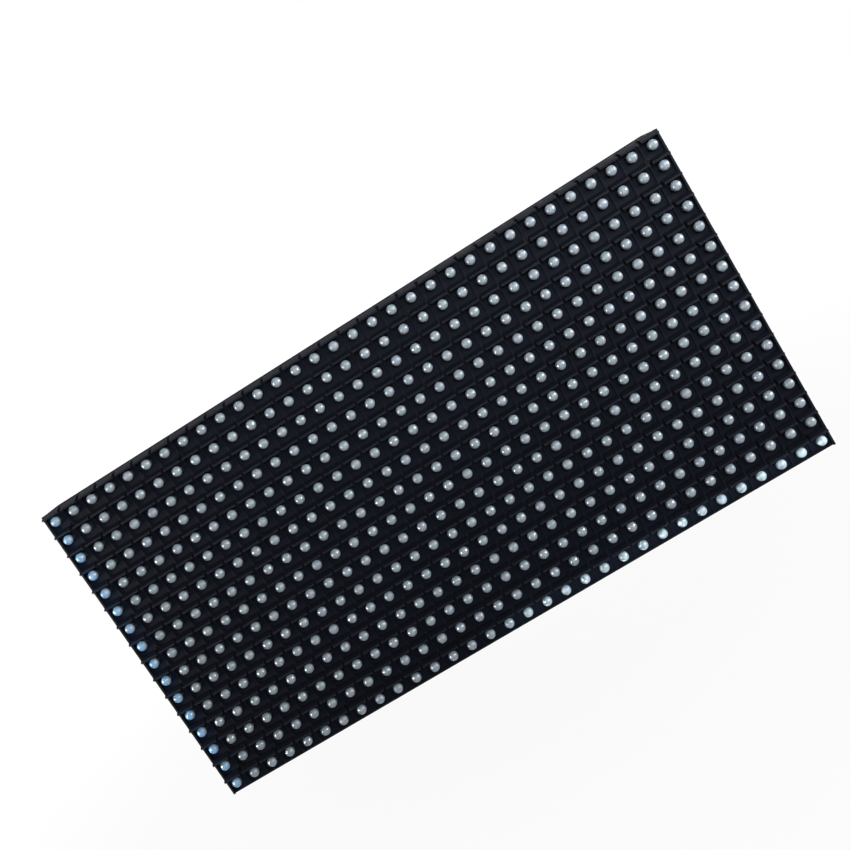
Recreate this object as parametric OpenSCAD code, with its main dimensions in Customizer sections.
// Outdoor led display module: a lamp mask with visors, a circuit board and a rear frame
// X runs to the right seen from the front, Z up, the lamps face -Y
// The origin is at the middle of the lower edge, half way through the depth

/* [Screen] */
// Lamps in one row
columns = 32; // [32:8:64]
// Rows of lamps
rows = 16; // [16:4:32]
// Distance from lamp to lamp
pitch = 10; // [10:0.5:14]

/* [Lamps] */
// Diameter of a lamp
lamp_d = 4.7; // [3:0.1:5]
// Height of the lamp's round centre above the ribs of the mask
lamp_rise = 1.7; // [0.5:0.1:2.5]
// Diameter of the foot of a lamp
lamp_foot_d = 5.6; // [5.2:0.1:6]
// Height of the foot of a lamp
lamp_foot_h = 1; // [0.5:0.1:1.5]
// Gap around a lamp in its hole
lamp_clear = 0.25; // [0.1:0.05:0.4]

/* [Mask] */
// Thickness of the mask's plate
mask_t = 2; // [1.2:0.1:3]
// Gap between the mask's edge and the module's edge
mask_clear = 0.1; // [0.1:0.05:0.6]
// Height of the ribs on the mask
rib_h = 0.8; // [0.4:0.1:1.2]
// Width of the upright ribs between lamps
rib_w = 1; // [0.6:0.1:1.6]
// How far the mask's two side edges stand out over the ribs
edge_rise = 1; // [0:0.1:1.5]
// Width of the ridge that carries a row of visors
ridge_w = 1.2; // [1:0.1:1.6]
// How far the ridge stands behind the mask's plate
ridge_back = 1; // [0.5:0.1:1.5]
// Width of one visor
visor_w = 8.4; // [6:0.1:9]
// How far a visor stands out over the ribs
visor_l = 4.2; // [2:0.1:8]
// Thickness of a visor at its tip
visor_t = 0.8; // [0.4:0.1:1.2]
// How far the visors' tips hang below the top of the ridge
visor_drop = 1.1; // [0:0.1:1.6]
// Width of the skirt round the back of the mask
skirt_w = 1.2; // [1:0.1:1.8]
// Height of the skirt
skirt_h = 1.5; // [1:0.1:2.5]

/* [Circuit board] */
// Thickness of the board
board_t = 1.6; // [1:0.1:2]
// Space between the mask's plate and the board
lamp_space = 4; // [2.6:0.1:5]
// Gap between the board's edge and the frame
board_clear = 0.3; // [0.1:0.05:0.5]
// Thickness of the chips' leads
lead_t = 0.2; // [0.1:0.05:0.3]
// Height of the small chips' bodies
chip_h = 1.5; // [1:0.1:2]
// Diameter of the lying capacitors
can_d = 8; // [6:0.1:8.5]
// Length of the lying capacitors
can_l = 12; // [10:0.5:12.5]

/* [Connectors] */
// Length of a signal header
header_l = 28.3; // [26:0.1:30]
// Width of a signal header
header_w = 9.2; // [8.6:0.1:10]
// Height of a signal header
header_h = 8.9; // [7:0.1:10]
// Wall of a signal header
header_wall = 1.3; // [0.8:0.1:1.6]
// Thickness of a signal header's floor
header_floor = 2.5; // [1.5:0.1:3]
// Pins in each of a signal header's two rows
header_pins = 8; // [5:1:8]
// Distance between a signal header's pins
header_pitch = 2.54; // [2:0.01:2.6]
// Thickness of a signal pin
header_pin = 0.64; // [0.5:0.02:0.8]
// Pins of the power socket
power_count = 4; // [2:1:4]
// Distance between the power pins
power_pitch = 3.96; // [3:0.02:4.2]
// Thickness of a power pin
power_pin = 1.14; // [0.8:0.02:1.4]
// Height of the power socket's base
power_base_h = 3.6; // [2:0.1:5]
// Height of the power socket's latch wall
power_wall_h = 9.2; // [7:0.1:10]
// Width of the power socket
power_w = 9; // [8:0.1:9.5]

/* [Rear frame] */
// Depth from the frame's rim to the board
rim_depth = 10.7; // [10:0.1:16]
// Thickness of the frame's outer wall
frame_wall = 2.2; // [2:0.1:3]
// Width of the lip round the board
lip_w = 1.2; // [0.8:0.1:1.4]
// Thickness of the rim plate
rim_t = 3; // [2.8:0.1:4]
// Width of the rim, from the module's edge to the step
rim_w = 19; // [18:0.1:20]
// Radius of the rim's inner corners
rim_corner = 9.5; // [6:0.5:12]
// Radius of the frame's outer corners
outer_corner = 2; // [1:0.5:4]
// How far the ledge and the bars lie below the rim
ledge_drop = 2.5; // [1:0.1:2.7]
// Width of the ledge inside the rim
ledge_w = 2.3; // [2:0.1:3]
// Thickness of the ledge and the bars
ledge_t = 2.5; // [2:0.1:3.5]
// Width of the three upright bars
bar_w = 10; // [9:0.5:12]
// Wall of the hollow bars and of the window
bar_wall = 2; // [1.5:0.1:2.2]

/* [Gasket] */
// Gap between the module's edge and the gasket
gasket_in = 4.2; // [3:0.1:5]
// Gap between the gasket and the step of the rim
gasket_clear = 0.2; // [0.1:0.05:0.4]
// Thickness of the gasket's base
gasket_t = 1; // [0.6:0.1:1.5]
// Height of the gasket's beads over its base
bead_h = 0.8; // [0.4:0.1:1.2]
// Width of a bead
bead_w = 1.6; // [1:0.1:2]
// Width of the collars round the openings
collar_w = 1.2; // [0.8:0.1:1.4]

/* [Fasteners] */
// Bore of the brass inserts
insert_bore = 3.3; // [2.5:0.1:3.6]
// Diameter of the brass inserts
insert_d = 5.4; // [4.6:0.1:5.6]
// Diameter of the inserts' flange
flange_d = 6.2; // [5.8:0.1:6.6]
// Thickness of the inserts' flange
flange_t = 0.6; // [0.3:0.1:0.9]
// Length of an insert below the rim
insert_l = 6.4; // [4:0.1:6.6]
// Diameter of the bosses round the inserts
insert_boss_d = 9; // [8:0.1:10]
// Distance of the inserts from the module's edge
insert_edge = 11; // [10.5:0.1:11.5]
// Distance of the inserts from the module's corner, along the edge
insert_corner = 37; // [32:1:40]
// Distance of the middle inserts from the module's centre line
insert_mid = 31; // [26:1:36]
// Diameter of the mask screws
screw_d = 1.8; // [1.4:0.1:2]
// Diameter of the screw heads
screw_head_d = 2.6; // [2.2:0.1:2.8]
// Height of the screw heads
screw_head_h = 0.9; // [0.6:0.1:1.2]
// How far the screws reach into the frame
screw_grip = 3; // [2:0.1:3.2]
// Gap round the screws
screw_clear = 0.2; // [0.1:0.05:0.3]
// Diameter of the posts and bosses round the screws
screw_boss_d = 4.4; // [4:0.1:4.8]
// Diameter of the open holes behind the corner and bar screws
vent_d = 2.6; // [2.2:0.1:3]

/* [Hidden] */
$fn = 64;

// Overall sizes
module_w = columns * pitch;
module_h = rows * pitch;
mask_w = module_w - 2 * mask_clear;
mask_h = module_h - 2 * mask_clear;
board_w = module_w - 2 * (lip_w + board_clear);
board_h = module_h - 2 * (lip_w + board_clear);

// Depths, from the tips of the visors to the top of the gasket's beads
depth = visor_l + rib_h + mask_t + lamp_space + board_t + rim_depth + gasket_t + bead_h;
y_tip = -depth / 2;
y_rib = y_tip + visor_l;
y_plate = y_rib + rib_h;
y_mask = y_plate + mask_t;
y_skirt = y_mask + skirt_h;
y_board = y_mask + lamp_space;
y_parts = y_board + board_t;
y_rim = y_parts + rim_depth;
y_ledge = y_rim - ledge_drop;

// Lamp
lamp_r = lamp_d / 2;
lamp_reach = y_board - y_rib + lamp_rise;

// Rear window and its bars
window_w = module_w - 2 * (rim_w + ledge_w);
window_h = module_h - 2 * (rim_w + ledge_w);
window_corner = max(rim_corner - ledge_w, 1);
bar_step = columns / 4 * pitch;
bar_x = [-bar_step, 0, bar_step];
overlap = 0.4;

// Gasket
gasket_w = module_w - 2 * gasket_in;
gasket_h = module_h - 2 * gasket_in;
gasket_band = rim_w - gasket_clear - gasket_in;
gasket_corner = rim_corner + rim_w - gasket_in;
bead_in = (gasket_band - bead_w) / 2;
opening_l = 9.6;
opening_w = 8;
gap_l = 9.4;
gap_w = 7.5;
gap_corner = 52.5;
gap_x = module_w / 2 - gap_corner;
pin_d = 3;
pin_collar = 2;
pin_corner = 90;
pin_x = module_w / 2 - pin_corner;

// Places of the brass inserts, on the upper and lower edge and on the two sides
insert_z = module_h / 2 - insert_edge;
insert_side_x = module_w / 2 - insert_edge;
insert_side_z = module_h / 2 - insert_corner;
edge_inserts = [for (x = [module_w / 2 - insert_corner, insert_mid], a = [-1, 1], b = [-1, 1])
    [a * x, b * insert_z]];
side_inserts = [for (a = [-1, 1], b = [-1, 1]) [a * insert_side_x, b * insert_side_z]];
inserts = concat(edge_inserts, side_inserts);

// Places of the mask screws, all on corners between four lamps
screw_x = module_w / 2 - pitch;
screw_z = module_h / 2 - pitch;
corner_screws = [for (a = [-1, 1], b = [-1, 1]) [a * screw_x, b * screw_z]];
bar_screws = [for (x = bar_x, b = [-1, 1]) [x, b * 2 * pitch]];
hidden_screws = concat(
    [for (x = [3 * pitch, 9 * pitch], a = [-1, 1], b = [-1, 1]) [a * x, b * screw_z]],
    [for (a = [-1, 1]) [a * screw_x, 0]]);
open_screws = concat(corner_screws, bar_screws);
screws = concat(open_screws, hidden_screws);
screw_hole = screw_d + 2 * screw_clear;
screw_floor = screw_grip + screw_clear;
head_well = screw_head_d + 2 * screw_clear;
slot_w = 0.5;
slot_l = 1.7;
slot_depth = 0.5;

// Chips: length, width, span over the leads, leads a side, lead pitch, lead width
lead_tuck = 0.4;
slim_w = 3.9;
slim_span = 6;
wide_w = 5.3;
wide_span = 7.4;
fine_pitch = 0.5;
fine_lead = 0.24;
lead_pitch = 1.27;
lead_w = 0.4;
driver_l = 6.8;
driver_leads = 12;
switch_l = 4.9;
switch_leads = 4;
buffer_l = 10.2;
buffer_leads = 8;
driver = [driver_l, slim_w, slim_span, driver_leads, fine_pitch, fine_lead];
switch = [switch_l, slim_w, slim_span, switch_leads, lead_pitch, lead_w];
buffer = [buffer_l, wide_w, wide_span, buffer_leads, lead_pitch, lead_w];

// Places on the back of the board, counted in lamps from its left and upper edge seen from behind
half = columns / 2;
driver_first = [3.9, 5.3, 6.9, 9.4, 10.9, 12.9];
driver_columns = concat(driver_first, [for (u = driver_first) u + half]);
driver_rows = [4, rows - 4];
drivers = [for (v = driver_rows, u = driver_columns) [u, v]];
switches = concat([for (v = [3 : 2 : rows - 3]) [half - 1, v]], [[half + 1, 3], [half + 1, rows - 3]]);
chip_clear = 0.9;
buffer_by_bar = (bar_step + (bar_w + buffer_l) / 2 + chip_clear) / pitch;
buffers = [[12.15, rows / 2], [buffer_by_bar, rows / 2], [3.1, rows / 2 - 1]];
pack_columns = [7, 13.3, half + 6.8, columns - 3.1];
packs = [for (u = pack_columns, v = [3, 5, rows - 5, rows - 3], s = [-0.2, 0.2]) [u + s, v]];
header_places = [[4.6, rows / 2], [columns - 4.6, rows / 2]];
power_place = [half + 1.9, rows / 2];
can_places = [[13.95, rows / 2 - 2.3, -20], [13.8, rows / 2 + 1.95, 0],
    [10.8, rows / 2, 180], [half + 1.9, rows / 2 - 1, 0]];
filter_step = 0.7;
filter_spread = 1.2;
filter_l = 2;
filter_w = 1.25;
filter_h = 0.7;
cap_l = 0.4;
pack_l = 3.2;
pack_w = 1.6;
can_dish = 0.3;
can_rim = 0.5;
can_edge = 0.2;
can_neck = 2;
can_groove = 0.5;
groove_w = 0.4;
wire_d = 0.6;
wire_gap = 3.5;
wire_out = 1.6;

// Connectors
header_key = 4.5;
header_pin_sink = 2;
header_pin_h = header_h - header_pin_sink;
power_l = power_count * power_pitch;
power_wall = 1.4;
power_pin_sink = 0.6;
power_pin_h = power_wall_h - power_pin_sink;

function row_name(j) = str("lamp_row_", j < 10 ? "0" : "", j);
function lamp_x(i) = (i - (columns + 1) / 2) * pitch;
function lamp_z(j) = ((rows + 1) / 2 - j) * pitch;
function behind(place) = [module_w / 2 - place[0] * pitch, module_h / 2 - place[1] * pitch];

lamp_rows = [for (j = [1 : rows]) row_name(j)];

// A plate between two depths, from a drawing of the front view about the module's middle
module plate(y_front, y_back) {
    translate([0, y_back, module_h / 2])
        rotate([90, 0, 0])
            linear_extrude(y_back - y_front) children();
}

// Copies of a drawing at a list of places
module at(places) {
    for (p = places) translate([p[0], p[1]]) children();
}

module rounded(w, h, r) {
    square([w, h - 2 * r], center = true);
    square([w - 2 * r, h], center = true);
    for (a = [-1, 1], b = [-1, 1])
        translate([a * (w / 2 - r), b * (h / 2 - r)]) circle(r);
}

// A band that runs round inside a rounded outline
module band(w, h, r, width) {
    difference() {
        rounded(w, h, r);
        rounded(w - 2 * width, h - 2 * width, r - width);
    }
}

module square_band(w, h, width) {
    difference() {
        square([w, h], center = true);
        square([w - 2 * width, h - 2 * width], center = true);
    }
}

// The frame's outer wall, with its rounded outer corners
module outer_wall(width) {
    difference() {
        rounded(module_w, module_h, outer_corner);
        square([module_w - 2 * width, module_h - 2 * width], center = true);
    }
}

// The lamps' holes in one strip of the mask's plate
module mask_strip(j, low, high) {
    plate(y_plate, y_mask) difference() {
        translate([-mask_w / 2, low]) square([mask_w, high - low]);
        for (i = [1 : columns])
            translate([lamp_x(i), lamp_z(j)]) circle(lamp_r + lamp_clear);
    }
}

// The ridge under a row of visors, with the upright ribs that hang from it
module mask_ribs(low, high) {
    ridge = high - ridge_w;
    plate(y_rib, y_plate) polygon(concat(
        [[-mask_w / 2, high], [-mask_w / 2, ridge]],
        [for (i = [1 : columns - 1], x = [lamp_x(i) + pitch / 2])
            each [[x - rib_w / 2, ridge], [x - rib_w / 2, low],
                [x + rib_w / 2, low], [x + rib_w / 2, ridge]]],
        [[mask_w / 2, ridge], [mask_w / 2, high]]));
}

// The visors of one row seen from above, as a comb that grows out of the ridge
module visor_comb() {
    polygon(concat(
        [[-mask_w / 2, y_rib + overlap], [-mask_w / 2, y_rib]],
        [for (i = [1 : columns], x = [lamp_x(i)])
            each [[x - visor_w / 2, y_rib], [x - visor_w / 2, y_tip],
                [x + visor_w / 2, y_tip], [x + visor_w / 2, y_rib]]],
        [[mask_w / 2, y_rib], [mask_w / 2, y_rib + overlap]]));
}

// A visor seen from the side, as thick as the ridge at its root and thin at its drooping tip
module visor_side() {
    polygon([[y_rib + overlap, 0], [y_rib, 0], [y_tip, -visor_drop], [y_tip, -visor_drop - visor_t],
        [y_rib, -ridge_w], [y_rib + overlap, -ridge_w]]);
}

module visor_row(high) {
    lowest = max(ridge_w, visor_drop + visor_t);
    translate([0, 0, module_h / 2 + high]) intersection() {
        translate([0, 0, -lowest]) linear_extrude(lowest) visor_comb();
        translate([-mask_w / 2, 0, 0]) rotate([90, 0, 90]) linear_extrude(mask_w) visor_side();
    }
}

module mask_row(j) {
    low = max(lamp_z(j) - pitch / 2, -mask_h / 2);
    high = min(lamp_z(j) + pitch / 2, mask_h / 2);
    mask_strip(j, low, high);
    mask_ribs(low, high);
    visor_row(high);
    plate(y_mask, y_mask + ridge_back)
        translate([-mask_w / 2, high - ridge_w]) square([mask_w, ridge_w]);
}

module front_mask() {
    color("#1b1a1f") difference() {
        union() {
            for (j = [1 : rows]) mask_row(j);
            plate(y_rib - edge_rise, y_plate) for (s = [-1, 1])
                translate([s * (mask_w - rib_w) / 2, 0]) square([rib_w, mask_h], center = true);
            plate(y_rib, y_plate)
                translate([0, (rib_w - mask_h) / 2]) square([mask_w, rib_w], center = true);
            plate(y_mask, y_skirt) square_band(mask_w, mask_h, skirt_w);
            plate(y_mask, y_board) at(screws) circle(screw_boss_d / 2);
        }
        plate(y_tip - overlap, y_plate) at(screws) circle(head_well / 2);
        plate(y_plate - overlap, y_board + overlap) at(screws) circle(screw_hole / 2);
    }
}

module lamp() {
    rotate([90, 0, 0]) rotate_extrude() {
        square([lamp_foot_d / 2, lamp_foot_h]);
        square([lamp_r, lamp_reach]);
        translate([0, lamp_reach]) intersection() {
            circle(lamp_r);
            square(lamp_d);
        }
    }
}

module lamp_row(j) {
    color("#c3c9ce") for (i = [1 : columns])
        translate([lamp_x(i), y_board, module_h / 2 + lamp_z(j)]) lamp();
}

module mask_screws() {
    color("#2b2b30") difference() {
        union() {
            plate(y_plate - screw_head_h, y_plate) at(screws) circle(screw_head_d / 2);
            plate(y_plate, y_parts + screw_grip) at(screws) circle(screw_d / 2);
        }
        plate(y_plate - screw_head_h - overlap, y_plate - screw_head_h + slot_depth)
            at(screws) {
                square([slot_l, slot_w], center = true);
                square([slot_w, slot_l], center = true);
            }
    }
}

module circuit_board() {
    color("#14456b") plate(y_board, y_parts) difference() {
        square([board_w, board_h], center = true);
        at(screws) circle(screw_hole / 2);
    }
}

// Walls that stand between the board and the back of the frame
module frame_walls() {
    outer_wall(frame_wall);
    band(window_w + 2 * bar_wall, window_h + 2 * bar_wall, window_corner + bar_wall, bar_wall);
    for (x = bar_x, s = [-1, 1])
        translate([x + s * (bar_w - bar_wall) / 2, 0]) square([bar_wall, window_h + bar_wall], center = true);
    at(inserts) circle(insert_boss_d / 2);
    at(screws) circle(screw_boss_d / 2);
    at(bar_screws) square([bar_w - bar_wall, bar_wall], center = true);
}

module rear_frame() {
    color("#2a2a2e") difference() {
        union() {
            plate(y_skirt, y_parts) outer_wall(lip_w);
            plate(y_parts, y_rim - rim_t) frame_walls();
            plate(y_rim - rim_t, y_rim) difference() {
                rounded(module_w, module_h, outer_corner);
                rounded(module_w - 2 * rim_w, module_h - 2 * rim_w, rim_corner);
            }
            plate(y_ledge - ledge_t, y_ledge) {
                band(window_w + 2 * ledge_w + 2 * bar_wall, window_h + 2 * ledge_w + 2 * bar_wall,
                    rim_corner + bar_wall, ledge_w + bar_wall);
                for (x = bar_x)
                    translate([x, 0]) square([bar_w, window_h + 2 * ledge_w], center = true);
            }
        }
        plate(y_rim - insert_l, y_rim + overlap) at(inserts) circle(insert_d / 2);
        plate(y_parts - overlap, y_parts + screw_floor) at(screws) circle(screw_d / 2);
        plate(y_parts + screw_floor, y_rim + overlap) at(open_screws) circle(vent_d / 2);
    }
}

// An opening in the gasket: a round hole with two flats along the gasket's run
module flat_sided(length, width, grow) {
    intersection() {
        circle(length / 2 + grow);
        square([length + 2 * grow + overlap, width + 2 * grow], center = true);
    }
}

module gasket_openings(grow) {
    at(edge_inserts) flat_sided(opening_l, opening_w, grow);
    at(side_inserts) rotate(90) flat_sided(opening_l, opening_w, grow);
    for (a = [-1, 1], b = [-1, 1]) {
        translate([a * gap_x, b * insert_z]) flat_sided(gap_l, gap_w, grow);
        translate([a * pin_x, b * insert_z]) circle(pin_d / 2 + (grow > 0 ? pin_collar : 0));
    }
}

module silicone_gasket() {
    color("#9fb6cc") {
        plate(y_rim, y_rim + gasket_t) difference() {
            band(gasket_w, gasket_h, gasket_corner, gasket_band);
            gasket_openings(0);
        }
        plate(y_rim + gasket_t, y_rim + gasket_t + bead_h) difference() {
            union() {
                for (d = [0, bead_in, gasket_band - bead_w])
                    band(gasket_w - 2 * d, gasket_h - 2 * d, gasket_corner - d, bead_w);
                gasket_openings(collar_w);
            }
            gasket_openings(0);
        }
    }
}

module threaded_inserts() {
    color("#c9a04a") {
        plate(y_rim - insert_l, y_rim) at(inserts) difference() {
            circle(insert_d / 2);
            circle(insert_bore / 2);
        }
        plate(y_rim, y_rim + flange_t) at(inserts) difference() {
            circle(flange_d / 2);
            circle(insert_bore / 2);
        }
    }
}

// The leads of a chip: two rows of feet that meet under its body
module lead_feet(chip) {
    edge = chip[1] / 2 - lead_tuck;
    reach = chip[2] / 2;
    foot = chip[5] / 2;
    upper = [for (i = [0 : chip[3] - 1], x = [(i - (chip[3] - 1) / 2) * chip[4]])
        each [[x - foot, edge], [x - foot, reach], [x + foot, reach], [x + foot, edge]]];
    polygon(concat(upper, [for (k = [len(upper) - 1 : -1 : 0]) [upper[k][0], -upper[k][1]]]));
}

module chip_bodies(chip, places, turn, height) {
    color("#26262a") plate(y_parts + lead_t, y_parts + lead_t + height)
        for (p = places) translate(behind(p)) rotate(turn) square([chip[0], chip[1]], center = true);
}

module chip_leads(chip, places, turn) {
    color("#b9bcc0") plate(y_parts, y_parts + lead_t)
        for (p = places) translate(behind(p)) rotate(turn) lead_feet(chip);
}

module resistor_packs() {
    color("#2e2e33") plate(y_parts, y_parts + filter_h)
        for (p = packs) translate(behind(p)) square([pack_l, pack_w], center = true);
}

// Two small chips stand beside each driver, to its left seen from behind
module beside_drivers() {
    for (p = drivers, s = [-1, 1])
        translate(behind([p[0] - filter_step, p[1]])) translate([0, s * filter_spread]) children();
}

module filter_chips() {
    color("#8a6f52") plate(y_parts, y_parts + filter_h)
        beside_drivers() square([filter_l - 2 * cap_l, filter_w], center = true);
}

module filter_caps() {
    color("#c4c6c8") plate(y_parts, y_parts + filter_h)
        beside_drivers() for (s = [-1, 1])
            translate([s * (filter_l - cap_l) / 2, 0]) square([cap_l, filter_w], center = true);
}

// Carries a lying capacitor to each of its places and turns it on the board as its place says
module at_cans() {
    for (c = can_places) {
        spot = behind(c);
        translate([spot[0], y_parts + can_d / 2, module_h / 2 + spot[1]]) rotate([0, c[2], 0]) children();
    }
}

module capacitor_cans() {
    r = can_d / 2;
    neck = can_l - can_neck;
    waist = r - can_groove;
    color("#1d1d20") at_cans() translate([can_l / 2, 0, 0]) rotate([0, -90, 0]) rotate_extrude()
        polygon([[0, can_dish], [r - can_rim - can_dish, can_dish], [r - can_rim, 0], [r - can_edge, 0],
            [r, can_edge], [r, neck - 1.5 * groove_w], [waist, neck - groove_w / 2],
            [waist, neck + groove_w / 2], [r, neck + 1.5 * groove_w], [r, can_l - can_edge],
            [r - can_edge, can_l], [0, can_l]]);
}

module capacitor_wires() {
    color("#b9bcc0") at_cans() for (s = [-1, 1])
        translate([-can_l / 2, 0, s * wire_gap / 2]) {
            translate([-wire_out, 0, 0]) rotate([0, 90, 0]) cylinder(d = wire_d, h = wire_out);
            translate([-wire_out, 0, 0]) rotate([90, 0, 0]) cylinder(d = wire_d, h = can_d / 2);
            translate([-wire_out, 0, 0]) sphere(d = wire_d);
        }
}

// Two rows of pins of a signal header
module pin_rows() {
    for (k = [1 : header_pins], s = [-0.5, 0.5])
        translate([(k - (header_pins + 1) / 2) * header_pitch, s * header_pitch])
            square(header_pin, center = true);
}

module signal_header(place) {
    spot = behind(place);
    color("#1f1f22") {
        plate(y_parts, y_parts + header_floor) translate(spot) difference() {
            square([header_l, header_w], center = true);
            pin_rows();
        }
        plate(y_parts + header_floor, y_parts + header_h) translate(spot) difference() {
            square_band(header_l, header_w, header_wall);
            translate([0, -header_w / 2]) square([header_key, header_w], center = true);
        }
    }
}

module signal_pins(place) {
    color("#c8a860") plate(y_parts, y_parts + header_pin_h) translate(behind(place)) pin_rows();
}

module power_pin_row() {
    for (k = [1 : power_count])
        translate([(k - (power_count + 1) / 2) * power_pitch, 0]) square(power_pin, center = true);
}

module power_socket() {
    spot = behind(power_place);
    color("#e9e9e4") {
        plate(y_parts, y_parts + power_base_h) translate(spot) difference() {
            square([power_l, power_w], center = true);
            power_pin_row();
        }
        plate(y_parts + power_base_h, y_parts + power_wall_h)
            translate(spot + [0, (power_w - power_wall) / 2]) square([power_l, power_wall], center = true);
    }
}

module power_pins() {
    color("#c4c6c8") plate(y_parts, y_parts + power_pin_h) translate(behind(power_place)) power_pin_row();
}

front_mask();
mask_screws();
circuit_board();
rear_frame();
silicone_gasket();
threaded_inserts();
chip_bodies(driver, drivers, 0, chip_h);  // driver_chips
chip_leads(driver, drivers, 0);  // driver_leads
chip_bodies(switch, switches, 90, chip_h);  // switch_chips
chip_leads(switch, switches, 90);  // switch_leads
chip_bodies(buffer, buffers, 0, chip_h + lead_t);  // buffer_chips
chip_leads(buffer, buffers, 0);  // buffer_leads
resistor_packs();
filter_chips();
filter_caps();
capacitor_cans();
capacitor_wires();
signal_header(header_places[0]);  // input_header
signal_pins(header_places[0]);  // input_pins
signal_header(header_places[1]);  // output_header
signal_pins(header_places[1]);  // output_pins
power_socket();
power_pins();
for (j = [1 : rows]) {
    lamp_row(j);
}
